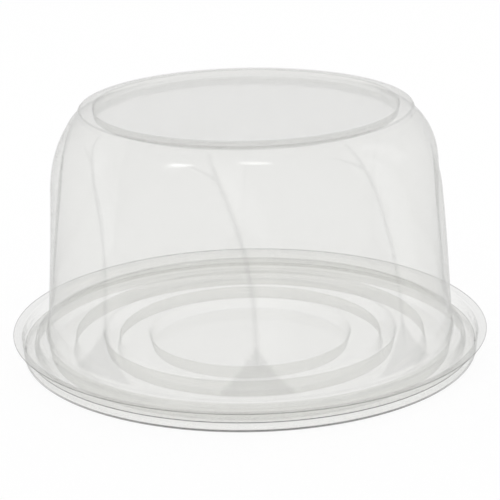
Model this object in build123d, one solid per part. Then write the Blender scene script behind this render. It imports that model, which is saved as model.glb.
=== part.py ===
from build123d import *
import math
import os

# Round cake container in clear thermoformed sheet: a flat tray and a tall fluted dome.
# Millimetres, +Z up. The origin is the centre of the tray's foot, on the table.
# Both pieces are drawn from one sheet each, so each is a single thin shell.

sheet = 0.5                 # thickness of the clear sheet

# Tray: radii and heights of the sheet's middle line, from the centre outwards
floor_z = sheet / 2
well_radius = 55.0          # round well in the middle of the floor
rib_inner_radius = 57.0     # raised rib round the well
rib_outer_radius = 73.6
rib_z = 8.15
groove_inner_radius = 74.6  # narrow groove between the rib and the platform
groove_outer_radius = 80.8
platform_inner_radius = 82.5
platform_outer_radius = 98.0
platform_z = 10.05
gutter_inner_radius = 99.4
gutter_outer_radius = 112.3
seat_inner_radius = 113.8   # seat that carries the dome
seat_outer_radius = 119.4
seat_z = 10.55
channel_inner_radius = 120.9
foot_radius = 127.45        # outer wall where it meets the table
wall_top_radius = 128.5
wall_top_z = 12.0
lip_radius = 133.32
lip_edge_z = 12.65
bend = 1.0                  # usual bend radius of the sheet
foot_bend = 1.7

# Snap lugs, short bosses on the inside of the tray's outer wall
lug_pairs = 4
lug_first_angle = -91.0     # degrees, middle of the front pair
lug_offset = 7.7            # degrees from the pair's middle to the middle of a lug
lug_span = 5.2              # degrees
lug_height = 2.4
lug_root_radius = 128.1
lug_crest_radius = 127.35
lug_z = 8.2

# Dome: outer face of the petalled wall
petal_count = 8
wall_foot_z = 12.6
wall_bend_z = 98.0          # the straight wall turns into the shoulder here
wall_bend_radius = 109.0
wall_taper = 0.068          # radius lost for each mm of height
shoulder_run = 25.0         # half axes of the shoulder's quarter ellipse
shoulder_rise = 41.0
shoulder_top_z = 135.6
crease_foot_depth = 3.2     # radial depth of the valley between two petals, low on the wall
crease_depth = 5.5          # and from deepen_end_z upwards
deepen_start_z = 45.0
deepen_end_z = 90.0
crease_angle = -88.5        # degrees, foot of the crease nearest the front
crease_foot_z = 41.0        # a crease ends here in a three-cornered facet
crease_lean = 12.0          # degrees that a crease leans back over the height below
crease_lean_rise = 90.0
crease_lean_power = 2.2
petal_edge = 15.0           # degrees over which a petal rises from its crease
petal_edge_power = 1.7
sweep_start_z = 118.0       # above this a petal's right edge sweeps over to the left
petal_top_z = 134.5
fade_start_z = 104.0        # above this the valleys grow shallow
fade_end_z = 130.0

# Dome: middle line of the sheet in the top ring, the ledge, the skirt and the flange
disc_z = 135.35             # sunk panel inside the ring
disc_radius = 82.85
ring_inner_radius = 83.65
ring_flat_radius = 87.0     # outwards of this the ring's top slopes down
ring_outer_radius = 91.15
ring_z = 140.05
ring_outer_z = 139.2
ring_bend = 0.8
ledge_root_radius = 114.1
ledge_fall_radius = 116.2
ledge_inner_radius = 117.7
ledge_z = seat_z + sheet
skirt_top_radius = 120.25
skirt_foot_radius = 121.5
flange_radius = 127.0
flange_z = 5.4
overlap = 0.22              # how far the wall runs into the sheet of the ledge and of the ring

pitch = 360 / petal_count


def sheet_of(corners, bends):
    """One sheet turned round the Z axis, from its middle line's corners and bend radii."""
    middle = FilletPolyline(*corners, radius=bends)
    section = trace(middle, line_width=sheet)
    return revolve(Plane.XZ * section, Axis.Z)


def snap_lug(angle):
    """Short boss of a flat three-cornered section on the tray's outer wall."""
    section = make_face(Polyline(
        (lug_root_radius, lug_z - lug_height / 2),
        (lug_crest_radius, lug_z),
        (lug_root_radius, lug_z + lug_height / 2),
        close=True))
    boss = revolve(Plane.XZ * section, Axis.Z, lug_span)
    return Rot(0, 0, angle - lug_span / 2) * boss


def make_tray():
    """Well, rib, groove, platform, gutter, seat, channel, wall and lip in one sheet."""
    corners = [
        (0, floor_z), (well_radius, floor_z),
        (rib_inner_radius, rib_z), (rib_outer_radius, rib_z),
        (groove_inner_radius, floor_z), (groove_outer_radius, floor_z),
        (platform_inner_radius, platform_z), (platform_outer_radius, platform_z),
        (gutter_inner_radius, floor_z), (gutter_outer_radius, floor_z),
        (seat_inner_radius, seat_z), (seat_outer_radius, seat_z),
        (channel_inner_radius, floor_z), (foot_radius, floor_z),
        (wall_top_radius, wall_top_z), (lip_radius, lip_edge_z),
    ]
    bends = [bend] * 12 + [foot_bend, bend]
    tray = sheet_of(corners, bends)
    for pair in range(lug_pairs):
        middle = lug_first_angle + pair * 360 / lug_pairs
        tray += snap_lug(middle - lug_offset)
        tray += snap_lug(middle + lug_offset)
    return tray


def wall_radius(z):
    """Radius of the dome's wall over the middle of a petal."""
    taper = wall_taper * (wall_bend_z - z)
    if z <= wall_bend_z:
        return wall_bend_radius + taper
    part = (z - wall_bend_z) / shoulder_rise
    return wall_bend_radius - shoulder_run * (1 - math.sqrt(1 - part * part)) + taper


def wall_slope(z):
    """Change of the wall's radius for each mm of height."""
    step = 0.05
    return (wall_radius(z + step) - wall_radius(z - step)) / (2 * step)


def valley_depth(z):
    """Radial depth of the valleys, which deepen up the wall and fade out on the shoulder."""
    growth = max(0.0, min(1.0, (z - deepen_start_z) / (deepen_end_z - deepen_start_z)))
    depth = crease_foot_depth + (crease_depth - crease_foot_depth) * growth
    part = max(0.0, min(1.0, (z - fade_start_z) / (fade_end_z - fade_start_z)))
    return depth * (1 - part) * (1 + part / 2)


def edge_rise(degrees):
    """Rise of a petal, 0 at its edge and 1 from petal_edge inwards."""
    part = max(0.0, min(1.0, degrees / petal_edge))
    return 1 - (1 - part) ** petal_edge_power


def petal_dip(share, z):
    """How far the wall lies inside wall_radius, at a share of the way across one petal."""
    sweep = max(0.0, min(1.0, (z - sweep_start_z) / (petal_top_z - sweep_start_z)))
    right_edge = (1 - sweep ** 3) ** (1 / 3)
    rise = edge_rise(share * pitch) * edge_rise((right_edge - share) * pitch)
    valley = valley_depth(z) * (1 - rise)
    facet = crease_foot_depth * (z - wall_foot_z) / (crease_foot_z - wall_foot_z)
    return max(0.0, min(valley, facet))


def crease_lean_at(z):
    """Degrees that the creases have leaned back by this height."""
    part = max(0.0, (z - crease_foot_z) / crease_lean_rise)
    return crease_lean * part ** crease_lean_power


def wall_ring(z, inset, drop):
    """Closed outline of the petalled wall at z, moved in by inset and down by drop."""
    points_per_petal = 14
    edges = []
    for petal in range(petal_count):
        points = []
        for index in range(points_per_petal + 1):
            share = index / points_per_petal
            angle = math.radians(crease_angle + (petal + share) * pitch - crease_lean_at(z))
            radius = wall_radius(z) - petal_dip(share, z) - inset
            points.append(Vector(radius * math.cos(angle), radius * math.sin(angle), z - drop))
        edges.append(Edge.make_spline(points))
    return Wire(edges)


def wall_block(thickness):
    """Solid bounded by the petalled wall, drawn this far inside the wall's outer face."""
    heights = [wall_foot_z - overlap, 20, 27, 34, crease_foot_z, 52, 68, 84, 97, 106, 113,
               119, 124, 128, 131, 133, 134.5, shoulder_top_z + overlap]
    rings = []
    for z in heights:
        slope = wall_slope(z)
        length = math.hypot(1, slope)
        rings.append(wall_ring(z, thickness / length, -thickness * slope / length))
    return Solid.make_loft(rings)


def make_dome():
    """Sunk disc, ring, shoulder, petalled wall, ledge, skirt and flange in one sheet."""
    wall = wall_block(0) - wall_block(sheet)
    opening = Cylinder(ring_outer_radius - overlap / 2, 4)
    wall -= Pos(0, 0, shoulder_top_z) * opening
    top = sheet_of(
        [(0, disc_z), (disc_radius, disc_z), (ring_inner_radius, ring_z), (ring_flat_radius, ring_z),
         (ring_outer_radius, ring_outer_z), (ring_outer_radius, shoulder_top_z - overlap)],
        [bend / 2, bend / 2, bend, ring_bend])
    shelf_z = wall_foot_z - sheet / 2
    foot = sheet_of(
        [(ledge_root_radius, shelf_z), (ledge_fall_radius, shelf_z),
         (ledge_inner_radius, ledge_z), (skirt_top_radius, ledge_z),
         (skirt_foot_radius, flange_z), (flange_radius, flange_z)],
        [bend / 2, bend / 2, bend, bend / 2])
    return wall + top + foot


os.makedirs("parts", exist_ok=True)
for name, piece in {"base_tray": make_tray(), "dome_lid": make_dome()}.items():
    export_step(piece, f"parts/{name}.step")
    box = piece.bounding_box()
    print(name, "solids", len(piece.solids()), "volume", round(piece.volume), box.min, box.max)
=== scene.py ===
import bpy
import math
import numpy as np
from mathutils import Matrix, Vector


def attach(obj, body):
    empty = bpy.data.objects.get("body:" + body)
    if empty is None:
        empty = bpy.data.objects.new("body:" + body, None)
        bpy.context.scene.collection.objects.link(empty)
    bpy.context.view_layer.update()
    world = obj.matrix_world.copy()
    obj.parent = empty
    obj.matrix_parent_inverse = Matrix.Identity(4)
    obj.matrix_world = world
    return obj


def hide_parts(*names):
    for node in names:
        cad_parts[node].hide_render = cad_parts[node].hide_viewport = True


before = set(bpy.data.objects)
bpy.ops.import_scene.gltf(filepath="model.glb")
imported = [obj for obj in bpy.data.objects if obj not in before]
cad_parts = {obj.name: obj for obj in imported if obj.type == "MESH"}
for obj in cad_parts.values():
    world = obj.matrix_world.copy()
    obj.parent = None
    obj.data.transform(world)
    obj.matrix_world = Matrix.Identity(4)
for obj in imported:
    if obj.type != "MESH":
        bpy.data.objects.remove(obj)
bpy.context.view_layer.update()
mm = 0.001


# Profile (radius, height): straight runs joined by arcs. Each arc starts and ends at
# corner -/+ direction * bend * tan(half the turn), and is cut into equal turns.
# Returns the points and the painted shade along each fold, 0 on the flats.
def foldedProfile(corners, bends, bendShades, arcSteps=5, guard=0.3):
    corners = np.array(corners, float)
    points, foldShade = [corners[:1]], [np.zeros(1)]
    for corner, before, after, bend, shading in zip(corners[1:-1], corners[:-2], corners[2:], bends, bendShades):
        if bend == 0:
            points.append(corner[None])
            foldShade.append(np.zeros(1))
            continue
        toIn = (corner - before) / np.linalg.norm(corner - before)
        toOut = (after - corner) / np.linalg.norm(after - corner)
        turn = math.atan2(toIn[0] * toOut[1] - toIn[1] * toOut[0], toIn @ toOut)
        start = corner - toIn * bend * math.tan(abs(turn) / 2)
        side = np.array([-toIn[1], toIn[0]]) * np.sign(turn)
        sweep = np.linspace(0, abs(turn), arcSteps + 1)[:, None]
        arc = start + bend * (toIn * np.sin(sweep) + side * (1 - np.cos(sweep)))
        points += [(start - toIn * guard)[None], arc, (arc[-1] + toOut * guard)[None]]
        foldShade += [np.zeros(1), np.full(len(arc), shading), np.zeros(1)]
    return np.vstack(points + [corners[-1:]]), np.concatenate(foldShade + [np.zeros(1)])


# Closed skin of a thin sheet: the middle surface moved half the thickness along its
# normal to either side, joined at the rim by a half circle of that radius.
# middle is rows x columns x 3, row 0 on the axis and the last row at the cut edge. The
# vertices carry painted fold shade, gauge (relative thickness) and painted cut-edge shade for the
# material.
def sheetSkin(name, middle, foldShade, gauge, cutShade, thickness, rimSteps=6):
    half = thickness / 2
    alongRows = np.gradient(middle, axis=0)
    alongColumns = np.roll(middle, -1, 1) - np.roll(middle, 1, 1)
    normal = np.cross(alongRows, alongColumns)
    normal[0] = (0, 0, 1)
    normal /= np.linalg.norm(normal, axis=2, keepdims=True)
    outward = middle[-1] - middle[-2]
    outward -= normal[-1] * np.sum(outward * normal[-1], axis=1, keepdims=True)
    outward /= np.linalg.norm(outward, axis=1, keepdims=True)
    rimTurn = np.linspace(0, math.pi, rimSteps + 1)[1:-1, None, None]
    rim = middle[-1] + half * (np.cos(rimTurn) * normal[-1] + np.sin(rimTurn) * outward)
    rows = np.concatenate([middle + half * normal, rim, (middle - half * normal)[::-1]])
    foldShadeRows = np.concatenate([foldShade, np.zeros((len(rim), foldShade.shape[1])), foldShade[::-1]])
    gaugeRows = np.concatenate([gauge, np.repeat(gauge[-1:], len(rim), axis=0), gauge[::-1]])
    gaugeRows = np.broadcast_to(gaugeRows[:, None], foldShadeRows.shape)
    cutShadeRows = np.zeros(foldShadeRows.shape)
    cutShadeRows[len(middle):len(middle) + len(rim)] = cutShade

    # one vertex for each pole, rings of quads between them, and a fan at either pole
    count, columns = rows.shape[0], rows.shape[1]
    vertices = np.vstack([rows[:1, 0], rows[1:-1].reshape(-1, 3), rows[-1:, 0]])
    here = np.arange(columns)
    following = np.roll(here, -1)
    ringStart = 1 + columns * np.arange(count - 2)[:, None]
    inner, outer = ringStart[:-1], ringStart[1:]
    quads = np.stack(np.broadcast_arrays(
        inner + here, outer + here, outer + following, inner + following), 2).reshape(-1, 4)
    last = len(vertices) - 1
    firstFan = np.stack([np.zeros(columns, int), 1 + here, 1 + following], 1)
    lastFan = np.stack([np.full(columns, last), ringStart[-1] + following, ringStart[-1] + here], 1)

    mesh = bpy.data.meshes.new(name)
    mesh.from_pydata((vertices * mm).tolist(), [],
                     quads.tolist() + firstFan.tolist() + lastFan.tolist())
    mesh.polygons.foreach_set("use_smooth", np.ones(len(mesh.polygons), bool))
    for label, values in (("foldShade", foldShadeRows), ("gauge", gaugeRows), ("cutEdgeShade", cutShadeRows)):
        layer = mesh.attributes.new(label, "FLOAT", "POINT")
        flat = np.concatenate([values[:1, 0], values[1:-1].ravel(), values[-1:, 0]])
        layer.data.foreach_set("value", flat.astype(np.float32))
    mesh.update()
    piece = bpy.data.objects.new(name, mesh)
    bpy.context.scene.collection.objects.link(piece)
    print(name, "vertices", len(vertices))
    return piece


# Points of a round surface: (radius * cos(turn), radius * sin(turn), height).
def roundSurface(radius, turn, height):
    return np.stack([radius * np.cos(turn), radius * np.sin(turn),
                     np.broadcast_to(height, radius.shape)], 2)


# How far a direction round the axis faces the front: root of -sin(turn), 0 at the back.
def towardsFront(turn):
    return np.sqrt(np.clip(-np.sin(turn), 0, 1))


# Millimetres and degrees. Corners are (radius, height) of the sheet's middle line.
tray = {
    "thickness": 0.5,
    "corners": [(0, .25), (55, .25), (57, 8.15), (73.6, 8.15), (74.6, .25), (80.8, .25),
                (82.5, 10.05), (98, 10.05), (99.4, .25), (112.3, .25), (113.8, 10.55),
                (119.4, 10.55), (120.9, .25), (127.45, .25), (128.5, 12.0), (133.05, 12.62)],
    "bends": [1.0] * 12 + [1.7, 1.0],
    "bendShades": [.3, .2, .1, .3, .2, .4, .15, .3, .3, .1, .15, .15, .4, .1],  # painted shade along each bend
    "gauge": [(0, 0.8), (97, 0.8), (112, 0.9), (128.3, 0.9), (129.2, 2.8), (134, 2.8)],
    "footBand": (126.6, 127.9, 1.6),  # inner and outer radius, and top, of the foot's bend
    "footShade": 6.0,                  # painted shade: a darker line along it, strongest at the front
    "columns": 224,
    "outerFrom": 121.0,               # the outer wall is the longest run outside this radius
    "wallSteps": 21,
    "lugPairs": 4,
    "lugFirstAngle": -91.0,
    "lugOffset": 7.7,
    "lugSpan": 5.2,
    "lugRamp": 0.7,
    "lugHeight": 2.4,
    "lugDepth": 0.55,
    "lugZ": 8.2,
}


# Angles round the tray: even steps, and extra ones across each lug.
def trayColumns(lugAngles):
    even = np.arange(tray["columns"]) * 360 / tray["columns"]
    extra = lugAngles[:, None] + tray["lugSpan"] * np.array([-.5, -.4, -.3, .3, .4, .5])
    return np.unique(np.round(np.concatenate([even, extra.ravel() % 360]), 4))


# A lug is a bulge of the wall towards the axis: depth * (1 - height off its middle /
# half height) across, times a smooth ramp at either end of its span.
def lugBulge(angles, heights, lugAngles):
    offAngle = np.abs((angles[:, None] - lugAngles + 180) % 360 - 180).min(axis=1)
    ends = np.clip((tray["lugSpan"] / 2 - offAngle) / tray["lugRamp"], 0, 1)
    ends = ends * ends * (3 - 2 * ends)
    across = np.clip(1 - np.abs(heights - tray["lugZ"]) / (tray["lugHeight"] / 2), 0, 1)
    return tray["lugDepth"] * across[:, None] * ends[None]


# The folded profile turned round the axis, with its outer wall cut into rows for the lugs.
def makeTray():
    pairs = tray["lugFirstAngle"] + np.arange(tray["lugPairs"]) * 360 / tray["lugPairs"]
    lugAngles = (pairs[:, None] + np.array([-1, 1]) * tray["lugOffset"]).ravel()
    line, foldShade = foldedProfile(tray["corners"], tray["bends"], tray["bendShades"])
    runs = np.hypot(*np.diff(line, axis=0).T) * (line[:-1, 0] > tray["outerFrom"])
    wall = np.argmax(runs)
    share = np.linspace(0, 1, tray["wallSteps"] + 1)[1:-1, None]
    line = np.insert(line, wall + 1, line[wall] + share * (line[wall + 1] - line[wall]), axis=0)
    foldShade = np.insert(foldShade, wall + 1, np.zeros(len(share)))

    angles = trayColumns(lugAngles)
    turn = np.radians(angles)
    outside = line[:, :1] > tray["outerFrom"]
    radius = line[:, :1] - lugBulge(angles, line[:, 1], lugAngles) * outside
    inner, outer, top = tray["footBand"]
    foot = (line[:, :1] > inner) & (line[:, :1] < outer) & (line[:, 1:] < top)
    # painted shade: the dark line along the foot's bend, strongest at the front
    foldShadeGrid = foldShade[:, None] + tray["footShade"] * foot * towardsFront(turn)
    gauge = np.interp(line[:, 0], *zip(*tray["gauge"]))
    middle = roundSurface(radius, turn, line[:, 1:])
    return sheetSkin("traySheet", middle, foldShadeGrid, gauge, np.ones(len(turn)), tray["thickness"])


traySheet = makeTray()

# Millimetres and degrees. Petals are counted to the right, from the crease nearest the front.
dome = {
    "thickness": 0.5,
    "petals": 8,
    "columnsPerPetal": 40,
    "creaseAngle": -88.5,
    "wallFoot": 12.6,
    "wallBend": 98.0,
    "bendRadius": 109.0,
    "taper": 0.068,
    "shoulderRun": 25.0,
    "shoulderRise": 41.0,
    "shoulderTop": 135.6,
    "wallRows": [(134.7, 98, -1.0), (97, 46, -4.0), (45, 13.4, -1.5)],  # from, to, step
    "wallFrom": 91.1,            # radius at which the wall leaves the ring
    "wallTo": (114.9, 12.3),     # radius and height at which it meets the ledge
    "creaseDepth": (3.2, 5.5),   # low on the wall, and from the second height below
    "deepening": (45.0, 90.0),
    "fade": (104.0, 130.0),
    "creaseFoot": 41.0,
    "lean": 12.0,
    "leanRise": 90.0,
    "leanPower": 2.2,
    "petalEdge": 15.0,
    "petalEdgePower": 1.7,
    "edgeSoftness": 0.5,
    "facetSoftness": 0.1,
    "sweepStart": 118.0,
    "petalTop": 134.5,
    "cornerRise": 1.5,           # how far a petal's left corner stands out under the ring
    "cornerHeights": (128, 135, 137.6, 138.8),
    "cornerWidth": 0.6,          # share of the petal
    "cornerSteepness": 3,
    # painted shade along the creases and on the facets at their feet, and painted light beside each
    # petal's left edge
    "creaseStrength": (1, 1, .6, .2, .2, .2, .6, 1),
    "creaseShading": 0.4,
    "creaseWidth": 0.6,
    "shadingHeights": (24, 41, 126, 135),
    "shadingLevels": (0, 1, 1, 0.3),
    "flankLight": -0.12,          # painted light: petals are brighter beside their left edge
    "flankSpan": (0.8, 2, 5, 11),
    "facetShade": 0.5,
    "facetBorder": 0.3,
    "facetFoot": (0.1, 0.3),
    "topCorners": [(0, 135.35), (82.85, 135.35), (83.65, 140.05), (87, 140.05), (91.15, 139.2),
                   (91.15, 135.5)],
    "topBends": [.5, .5, 1.0, .8, .8],
    # painted shade along the top's bends
    "topShades": [.3, .5, 0, .6, 0],
    "footCorners": [(114.57, 12.35), (116.2, 12.35), (117.7, 11.05), (120.25, 11.05),
                    (121.5, 5.4), (126.75, 5.4)],
    "footBends": [.5, .5, .5, 1.0, .5],
    # painted shade along the foot's bends
    "footShades": [.2, .1, .1, .15, .3],
    "gauge": [(0, 1.1), (92, 1.1), (100, 1.0), (116, 0.8), (121, 0.9), (128, 1.2)],
    "cutShadeAtBack": 0.3,            # painted shade on the cut edge at the back, 1 at the front
}
pitch = 360 / dome["petals"]


# Outer radius over the middle of a petal: a straight taper up to the bend height, then
# a quarter ellipse, run * (1 - sqrt(1 - (height over the bend / rise) squared)), inwards.
def wallRadius(z):
    part = np.clip((z - dome["wallBend"]) / dome["shoulderRise"], 0, 0.9999)
    curve = dome["shoulderRun"] * (1 - np.sqrt(1 - part ** 2))
    return dome["bendRadius"] + dome["taper"] * (dome["wallBend"] - z) - curve


# Rise of a petal from its edge: 1 - (1 - degrees in / edge width) to a power, with the
# first half degree rounded off.
def edgeRise(degrees):
    soft = (degrees + np.sqrt(degrees ** 2 + dome["edgeSoftness"] ** 2)) / 2
    part = np.clip(soft / dome["petalEdge"], 0, 1)
    return 1 - (1 - part) ** dome["petalEdgePower"]


# Share of a petal's width at which its right edge lies: 1 up to the sweep's start, then
# the cube root of 1 - (share of the sweep) cubed, down to 0 at the petal's top.
def rightEdge(z):
    sweep = np.clip((z - dome["sweepStart"]) / (dome["petalTop"] - dome["sweepStart"]), 0, 1)
    return (1 - sweep ** 3) ** (1 / 3)


# Depth of the flat facet at a crease's foot: 0 at the wall's foot, low crease depth at its top.
def facetDepth(z):
    return dome["creaseDepth"][0] * (z - dome["wallFoot"]) / (dome["creaseFoot"] - dome["wallFoot"])


# How far the wall lies inside wallRadius: the valley depth times one minus the product
# of the rises from both petal edges, or the facet where that is shallower.
def petalDip(share, z):
    fade = np.clip((z - dome["fade"][0]) / (dome["fade"][1] - dome["fade"][0]), 0, 1)
    depth = np.interp(z, dome["deepening"], dome["creaseDepth"]) * (1 - fade) * (1 + fade / 2)
    valley = depth * (1 - edgeRise(share * pitch) * edgeRise((rightEdge(z) - share) * pitch))
    facet = facetDepth(z)
    shallower = (valley + facet - np.sqrt((valley - facet) ** 2 + dome["facetSoftness"] ** 2)) / 2
    return np.maximum(0, shallower)


# A petal's upper left corner stands out: full height beside its left edge, falling in a
# straight line to nothing over its width, and ramped in and out over the given heights.
def cornerRise(share, z):
    upright = np.interp(z, dome["cornerHeights"], (0, 1, 1, 0))
    across = np.clip(1 - share / dome["cornerWidth"], 0, 1)
    return dome["cornerRise"] * upright * across * edgeRise(share * pitch * dome["cornerSteepness"])


# Painted shade along the creases: a bell, exp(-(degrees off / width) squared), on either edge
# of a petal, as strong as its crease, and a strip of painted light beside the petal's left edge.
def creaseShading(share, z, left, right):
    offLeft = share * pitch
    offRight = np.minimum(1 - share, np.abs(rightEdge(z) - share)) * pitch
    bells = (left * np.exp(-(offLeft / dome["creaseWidth"]) ** 2)
             + right * np.exp(-(offRight / dome["creaseWidth"]) ** 2))
    strip = left * np.interp(offLeft, dome["flankSpan"], (0, 1, 1, 0))
    upright = np.interp(z, dome["shadingHeights"], dome["shadingLevels"])
    return upright * (dome["creaseShading"] * bells + dome["flankLight"] * strip)


# Painted shade on the three-cornered facet at a crease's foot: full where the facet is
# shallower than the valley by its border or more, and none at its very bottom.
def facetShade(share, z, left, right):
    valley = dome["creaseDepth"][0] * (1 - edgeRise(share * pitch) * edgeRise((1 - share) * pitch))
    facet = facetDepth(z)
    inside = np.clip((valley - facet) / dome["facetBorder"], 0, 1)
    return dome["facetShade"] * inside * np.interp(facet, dome["facetFoot"], (0, 1)) * np.where(
        share < 0.5, left, right)


# Degrees that the creases lean back: lean * (height over the crease's foot / rise) to a power.
def creaseLean(z):
    return dome["lean"] * np.maximum(0, (z - dome["creaseFoot"]) / dome["leanRise"]) ** dome["leanPower"]


# Middle line of the wall: its outer line moved in by half the thickness, square to it.
def wallLine():
    z = np.concatenate([np.arange(*rows) for rows in dome["wallRows"]])
    step = 0.02
    slope = (wallRadius(z + step) - wallRadius(z - step)) / (2 * step)
    inwards = dome["thickness"] / 2 / np.hypot(1, slope)
    return [tuple(point) for point in np.stack([wallRadius(z) - inwards, z + slope * inwards], 1)]


# Top, wall and foot as one profile, turned round the axis. On the wall the radius loses
# petalDip and gains cornerRise, and each row is turned back by creaseLean.
def makeDome():
    wall = wallLine()
    flat = [0] * len(wall)
    line, foldShade = foldedProfile(dome["topCorners"] + wall + dome["footCorners"],
                               dome["topBends"] + flat + dome["footBends"],
                               dome["topShades"] + flat + dome["footShades"], arcSteps=4)
    fromRing = np.arange(len(line)) >= np.flatnonzero(line[:, 0] > dome["wallFrom"])[0]
    onWall = fromRing & (line[:, 0] < dome["wallTo"][0]) & (line[:, 1] > dome["wallTo"][1])
    height = np.where(fromRing, line[:, 1], dome["shoulderTop"])[:, None]

    columns = dome["petals"] * dome["columnsPerPetal"]
    share = (np.arange(columns) % dome["columnsPerPetal"] / dome["columnsPerPetal"])[None]
    angle = dome["creaseAngle"] + np.arange(columns) * 360 / columns
    dip = (petalDip(share, height) - cornerRise(share, height)) * onWall[:, None]
    radius = np.maximum(line[:, :1] - dip, 0)
    turn = np.radians(angle[None] - creaseLean(np.minimum(height, dome["shoulderTop"])))

    left = np.repeat(dome["creaseStrength"], dome["columnsPerPetal"])[None]
    right = np.roll(left, -dome["columnsPerPetal"])
    # painted shade along the creases and on their facets, and painted light beside the left edges, under
    # the ring only
    shading = creaseShading(share, height, left, right) + facetShade(share, height, left, right)
    underRing = onWall & (line[:, 1] < dome["shoulderTop"])
    foldShadeGrid = foldShade[:, None] + shading * underRing[:, None]
    gauge = np.interp(line[:, 0], *zip(*dome["gauge"]))
    # painted shade on the cut edge, darker towards the front
    cutShade = dome["cutShadeAtBack"] + (1 - dome["cutShadeAtBack"]) * towardsFront(turn[-1])
    middle = roundSurface(radius, turn, line[:, 1:])
    return sheetSkin("domeSheet", middle, foldShadeGrid, gauge, cutShade, dome["thickness"])


domeSheet = makeDome()

# Shares from 0 to 1, each for one face of the sheet.
clearSheet = {
    "tint": (1.0, 1.0, 0.995),
    "facing": 0.962,       # light let through at plain gauge, met head on
    "grazing": 0.93,       # and met edge on
    "edgePower": 4.0,
    "mirrorFacing": 0.04,  # light mirrored, met head on
    "mirrorGrazing": 0.65,
    "mirrorPower": 5.0,
    "mirrorTint": 0.82,
    "haze": 0.035,         # part that scatters the light that falls on it
    "hazeColour": 0.8,
    "foldShadeStrength": 0.12,      # painted shade taken off at a tight bend, in place of the light the bend scatters
    "cutShadeStrength": 0.9,        # painted shade taken off at the cut edge
    "roughness": 0.12,
    "ripple": 0.35,
    "rippleScale": 55.0,
    "rippleDetail": 2.0,
    "rippleHeight": 0.0004,
}
# the tray's sheet is clearer, with lighter painted shade at folds and the cut edge
clearTray = dict(clearSheet, facing=0.985, haze=0.03, foldShadeStrength=0.10, cutShadeStrength=0.45)


# A shader node with its settings, and its inputs linked or set.
def nodeIn(tree, kind, links=(), **values):
    node = tree.nodes.new(kind)
    for key, value in values.items():
        setattr(node, key, value)
    for socket, source in dict(links).items():
        if hasattr(source, "is_output"):
            tree.links.new(source, node.inputs[socket])
        else:
            node.inputs[socket].default_value = source
    return node


# Result of one sum on two or three inputs.
def sumOf(tree, operation, *inputs):
    return nodeIn(tree, "ShaderNodeMath", dict(enumerate(inputs)), operation=operation).outputs[0]


# Straight-through light falls from facing to grazing with a power of how edge-on the face
# is met, to the power of the gauge, and is dimmed by painted shade at folds and cut edges. The
# mirrored share rises with a steeper power, as on clear plastic.
def clearMaterial(name, values):
    material = bpy.data.materials.new(name)
    material.use_nodes = True
    tree = material.node_tree
    tree.nodes.clear()
    place = nodeIn(tree, "ShaderNodeTexCoord")
    ripple = nodeIn(tree, "ShaderNodeTexNoise", {
        "Vector": place.outputs["Object"], "Scale": values["rippleScale"],
        "Detail": values["rippleDetail"]})
    bump = nodeIn(tree, "ShaderNodeBump", {
        "Strength": values["ripple"], "Distance": values["rippleHeight"], "Height": ripple.outputs[0]})
    weight = nodeIn(tree, "ShaderNodeLayerWeight", {"Blend": 0.5, "Normal": bump.outputs[0]})
    gauge, foldShadeFac, cutShade = (nodeIn(tree, "ShaderNodeAttribute", attribute_name=label).outputs["Fac"]
                          for label in ("gauge", "foldShade", "cutEdgeShade"))

    edgeOn = sumOf(tree, "POWER", weight.outputs["Facing"], values["edgePower"])
    oneGauge = nodeIn(tree, "ShaderNodeMapRange", {
        "Value": edgeOn, "To Min": values["facing"], "To Max": values["grazing"]})
    through = sumOf(tree, "POWER", oneGauge.outputs[0], gauge)
    # painted shade at folds and the cut edge takes light off what goes straight through
    foldShadeKeeps = sumOf(tree, "MULTIPLY_ADD", foldShadeFac, -values["foldShadeStrength"], 1.0)
    cutShadeKeeps = sumOf(tree, "MULTIPLY_ADD", cutShade, -values["cutShadeStrength"], 1.0)
    level = sumOf(tree, "MULTIPLY", sumOf(tree, "MULTIPLY", foldShadeKeeps, cutShadeKeeps), through)
    colour = nodeIn(tree, "ShaderNodeMix", {6: values["tint"] + (1,), 7: level, 0: 1.0},
                    data_type="RGBA", blend_type="MULTIPLY")
    clear = nodeIn(tree, "ShaderNodeBsdfTransparent", {"Color": colour.outputs[2]})
    milky = nodeIn(tree, "ShaderNodeBsdfDiffuse", {"Color": (values["hazeColour"],) * 3 + (1,)})
    body = nodeIn(tree, "ShaderNodeMixShader", {
        0: values["haze"], 1: clear.outputs[0], 2: milky.outputs[0]})

    steep = sumOf(tree, "POWER", weight.outputs["Facing"], values["mirrorPower"])
    mirrored = nodeIn(tree, "ShaderNodeMapRange", {
        "Value": steep, "To Min": values["mirrorFacing"], "To Max": values["mirrorGrazing"]})
    gloss = nodeIn(tree, "ShaderNodeBsdfGlossy", {
        "Color": (values["mirrorTint"],) * 3 + (1,), "Roughness": values["roughness"],
        "Normal": bump.outputs[0]})
    mixed = nodeIn(tree, "ShaderNodeMixShader", {
        0: mirrored.outputs[0], 1: body.outputs[0], 2: gloss.outputs[0]})
    nodeIn(tree, "ShaderNodeOutputMaterial", {"Surface": mixed.outputs[0]})
    return material


traySheet.data.materials.append(clearMaterial("clearTray", clearTray))
domeSheet.data.materials.append(clearMaterial("clearDome", clearSheet))
print("clear sheet on both pieces")

for piece, body, node, slot in ((traySheet, "tray", "base_tray", "tray_sheet"),
                                (domeSheet, "dome", "dome_lid", "dome_sheet")):
    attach(piece, body)
    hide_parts(node)
print("pieces ride on their bodies")

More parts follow.
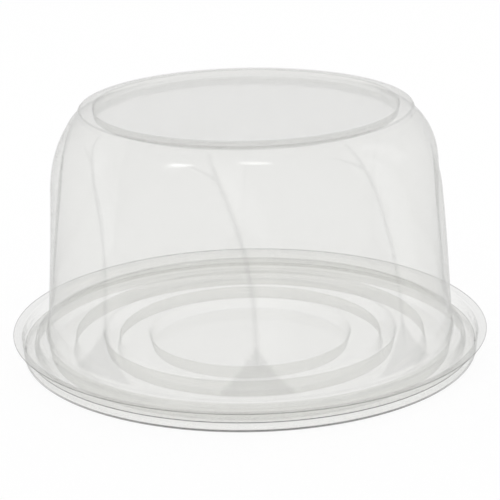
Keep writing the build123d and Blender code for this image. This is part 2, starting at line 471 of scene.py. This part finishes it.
# Metres and watts.
studio = {
    "floorSize": 12.0,
    "floorDrop": 0.0002,
    "floorPaper": 0.93,
    "backdropShare": 0.92,         # share of the floor's look that is plain white
    "roomLight": 1.0,
    "ceiling": 0.8,
    "ceilingFrom": (0.35, 0.85),   # upward share of a direction over which one turns to the other
    "lampTarget": (0, 0, 0.08),
    "lamps": [                     # name, place, size, power
        ("softboxLeft", (-0.75, -0.55, 1.3), (0.3, 0.2), 0.9),
        ("softboxFront", (0.12, -0.6, 1.35), (0.3, 0.16), 0.5),
        ("softboxRight", (1.3, 0.3, 0.9), (0.5, 0.8), 0.6),
        ("softboxTop", (0.0, 0.9, 1.5), (1.2, 0.5), 4.0),
    ],
}


# 1 for a ray that shows the backdrop, straight, mirrored or through glass, and 0 for light.
def showsBackdrop(tree):
    ray = nodeIn(tree, "ShaderNodeLightPath")
    seen = sumOf(tree, "MAXIMUM", ray.outputs["Is Camera Ray"], ray.outputs["Is Glossy Ray"])
    return sumOf(tree, "MAXIMUM", seen, ray.outputs["Is Transmission Ray"])


# A square of pale paper, mostly plain white to the eye, that keeps some of the shadow.
def makeFloor():
    size = studio["floorSize"] / 2
    mesh = bpy.data.meshes.new("floor")
    mesh.from_pydata([(-size, -size, 0), (size, -size, 0), (size, size, 0), (-size, size, 0)],
                     [], [(0, 1, 2, 3)])
    floor = bpy.data.objects.new("floor", mesh)
    floor.location.z = -studio["floorDrop"]
    bpy.context.scene.collection.objects.link(floor)
    material = bpy.data.materials.new("floorPaper")
    material.use_nodes = True
    tree = material.node_tree
    tree.nodes.clear()
    paper = nodeIn(tree, "ShaderNodeBsdfDiffuse", {"Color": (studio["floorPaper"],) * 3 + (1,)})
    white = nodeIn(tree, "ShaderNodeEmission", {"Color": (1, 1, 1, 1), "Strength": 1.0})
    share = sumOf(tree, "MULTIPLY", showsBackdrop(tree), studio["backdropShare"])
    mixed = nodeIn(tree, "ShaderNodeMixShader", {0: share, 1: paper.outputs[0], 2: white.outputs[0]})
    nodeIn(tree, "ShaderNodeOutputMaterial", {"Surface": mixed.outputs[0]})
    mesh.materials.append(material)


# White where the backdrop shows, and otherwise room light that falls off to the ceiling's.
def lightRoom():
    world = bpy.data.worlds.new("studio")
    bpy.context.scene.world = world
    world.use_nodes = True
    tree = world.node_tree
    tree.nodes.clear()
    direction = nodeIn(tree, "ShaderNodeTexCoord")
    parts = nodeIn(tree, "ShaderNodeSeparateXYZ", {0: direction.outputs["Generated"]})
    low, high = studio["ceilingFrom"]
    upper = nodeIn(tree, "ShaderNodeMapRange", {
        "Value": parts.outputs["Z"], "From Min": low, "From Max": high,
        "To Min": studio["roomLight"], "To Max": studio["ceiling"]})
    level = nodeIn(tree, "ShaderNodeMix", {0: showsBackdrop(tree), 2: upper.outputs[0], 3: 1.0},
                   data_type="FLOAT")
    light = nodeIn(tree, "ShaderNodeBackground", {"Color": (1, 1, 1, 1), "Strength": level.outputs[0]})
    nodeIn(tree, "ShaderNodeOutputWorld", {"Surface": light.outputs[0]})
    for name, place, size, power in studio["lamps"]:
        lamp = bpy.data.lights.new(name, "AREA")
        lamp.shape = "RECTANGLE"
        lamp.size, lamp.size_y = size
        lamp.energy = power
        holder = bpy.data.objects.new(name, lamp)
        holder.location = place
        aim = Vector(studio["lampTarget"]) - Vector(place)
        holder.rotation_euler = aim.to_track_quat("-Z", "Y").to_euler()
        bpy.context.scene.collection.objects.link(holder)


# Metres and degrees, fitted to the photograph.
view = {
    "place": (0, -0.96640, 0.37059),
    "heading": -0.048,
    "lookDown": 18.068,
    "roll": -1.063,
    "focalPixels": 1814.8,
    "picturePixels": 500,
    "sensorWidth": 36.0,
    "farEnd": 50.0,
}


# Lens = focal length in pixels / picture width in pixels * sensor width.
def placeCamera():
    camera = bpy.data.cameras.new("camera")
    camera.sensor_width = view["sensorWidth"]
    camera.lens = view["focalPixels"] / view["picturePixels"] * view["sensorWidth"]
    camera.clip_end = view["farEnd"]
    holder = bpy.data.objects.new("camera", camera)
    holder.location = view["place"]
    turn = (Matrix.Rotation(math.radians(view["heading"]), 3, "Z")
            @ Matrix.Rotation(math.radians(90 - view["lookDown"]), 3, "X")
            @ Matrix.Rotation(math.radians(view["roll"]), 3, "Z"))
    holder.rotation_euler = turn.to_euler()
    bpy.context.scene.collection.objects.link(holder)
    bpy.context.scene.camera = holder


makeFloor()
lightRoom()
placeCamera()
bpy.context.scene.view_settings.view_transform = "Standard"
bpy.context.scene.cycles.transparent_max_bounces = 64
print("studio ready")
